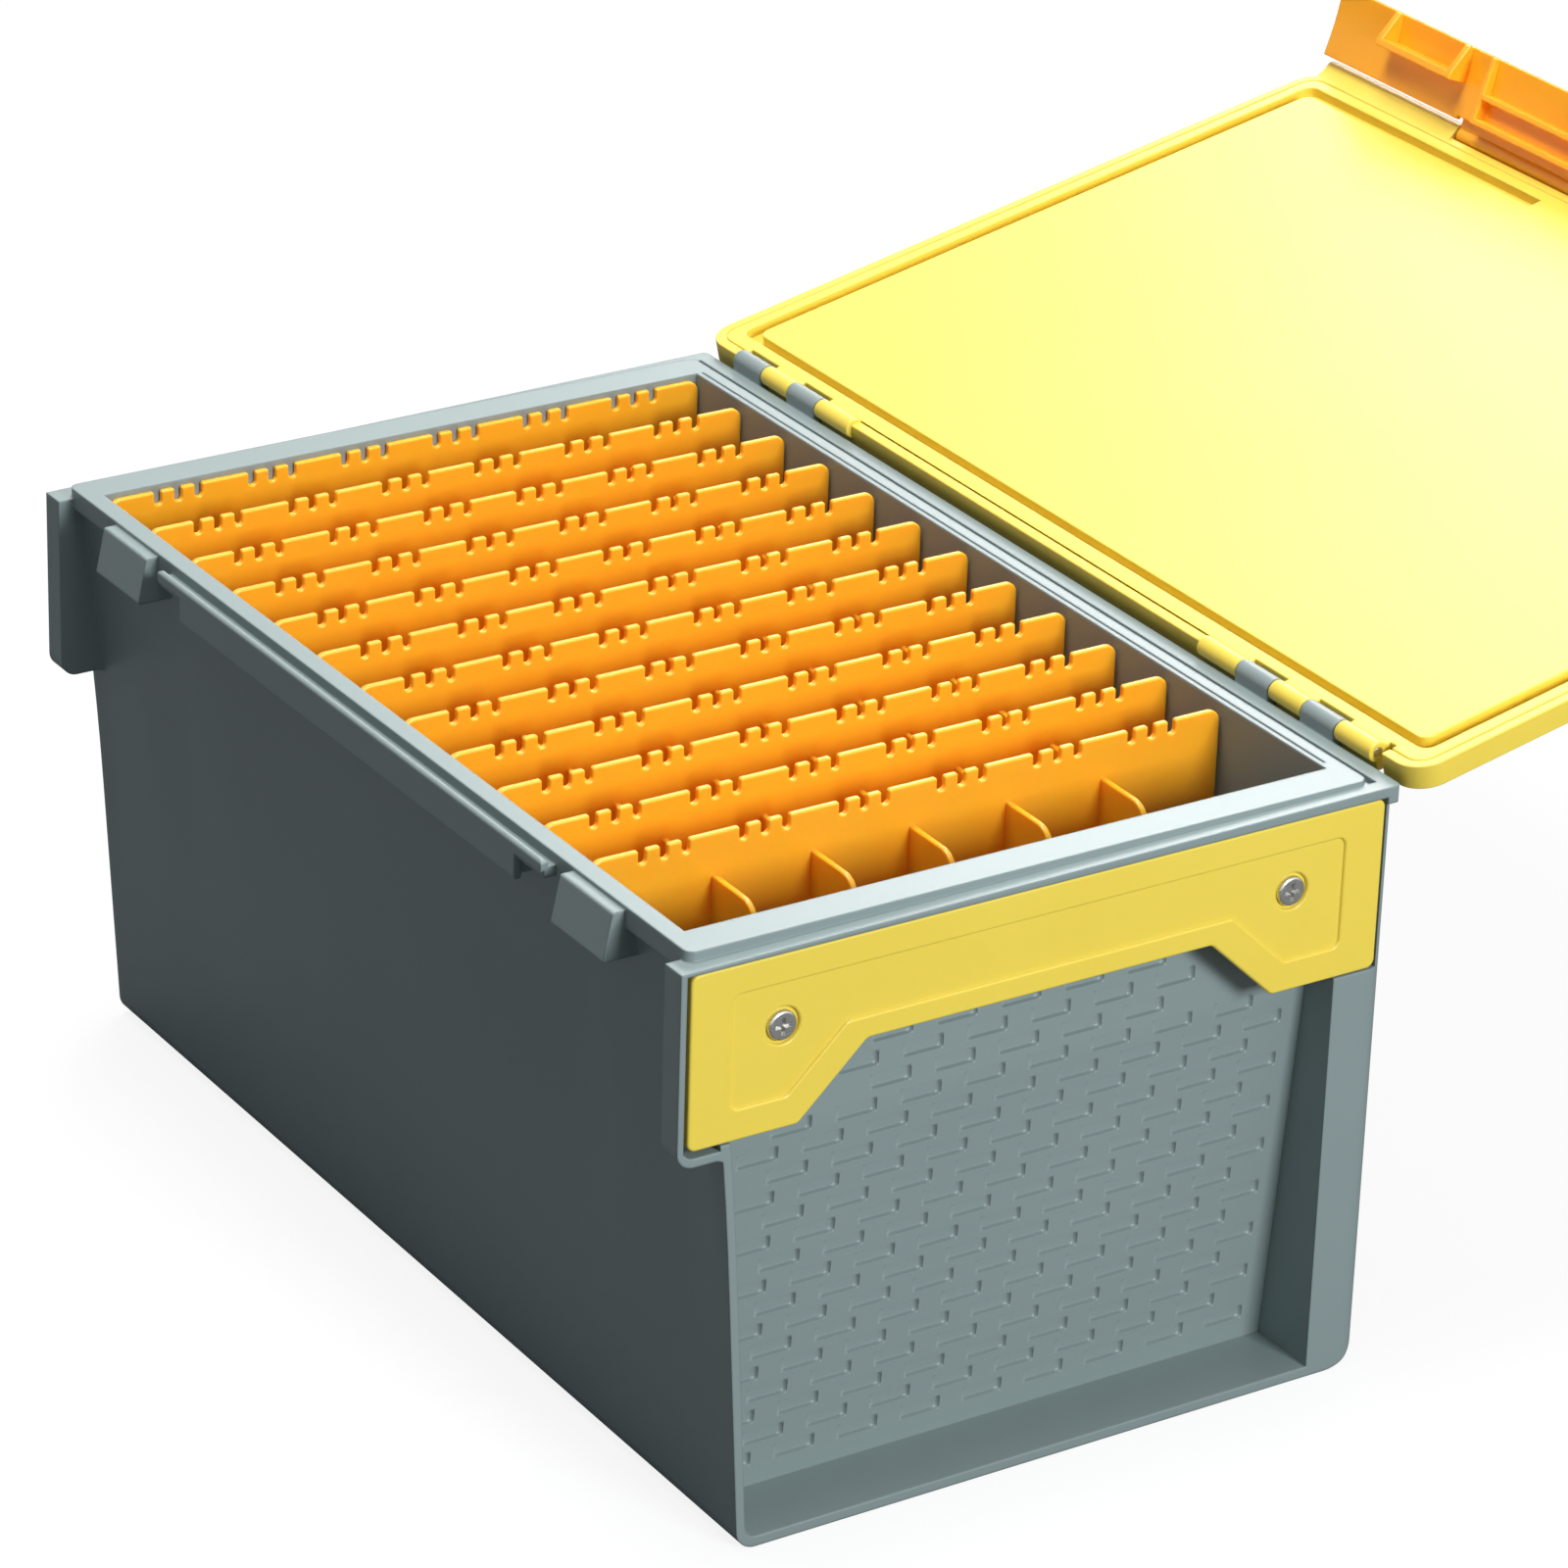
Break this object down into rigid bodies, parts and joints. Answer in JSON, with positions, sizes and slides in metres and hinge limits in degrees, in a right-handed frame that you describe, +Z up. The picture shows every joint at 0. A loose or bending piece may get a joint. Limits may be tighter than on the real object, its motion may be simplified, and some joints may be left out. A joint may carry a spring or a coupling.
{
  "type": "tackle box",
  "caption": "Deep open tackle box with notched hanging combs, end hand-holds, a hinged flat lid and a hinged latch flap along the lid's front edge.",
  "frame": {"origin": "centre of the underside, midway between the two end recesses and under the middle of the opening", "axes": "+X along the box to the near end, +Y to the hinge side that the open lid lies on, +Z up"},
  "size_m": [0.359, 0.4643, 0.263],
  "materials": {
    "grey_shell": "fine matte",
    "yellow_shell": "satin",
    "comb_orange": "satin",
    "orange_shell": "satin",
    "screw_steel": "zinc plated",
    "pin_steel": "drawn wire"
  },
  "bodies": {
    "tub": {"tub": "grey_shell", "end_plate_near": "yellow_shell", "end_plate_far": "yellow_shell", "plate_screws_near": "screw_steel", "plate_screws_far": "screw_steel", "comb_01": "comb_orange", "comb_02": "comb_orange", "comb_03": "comb_orange", "comb_04": "comb_orange", "comb_05": "comb_orange", "comb_06": "comb_orange", "comb_07": "comb_orange", "comb_08": "comb_orange", "comb_09": "comb_orange", "comb_10": "comb_orange", "comb_11": "comb_orange", "comb_12": "comb_orange", "hinge_pin_near": "pin_steel", "hinge_pin_far": "pin_steel"},
    "lid": {"lid": "yellow_shell", "latch_pin_near": "pin_steel", "latch_pin_far": "pin_steel"},
    "latch": {"latch_flap": "orange_shell"}
  },
  "joints": [
    {"name": "lid_hinge", "type": "hinge", "parent": "tub", "child": "lid", "pos_m": [0, 0.116, 0.1788], "axis": [1, 0, 0], "range_deg": [0, 168]},
    {"name": "latch_hinge", "type": "hinge", "parent": "lid", "child": "latch", "pos_m": [0, 0.34626, 0.22917], "axis": [1, 0, 0], "range_deg": [-58, 32]}
  ]
}
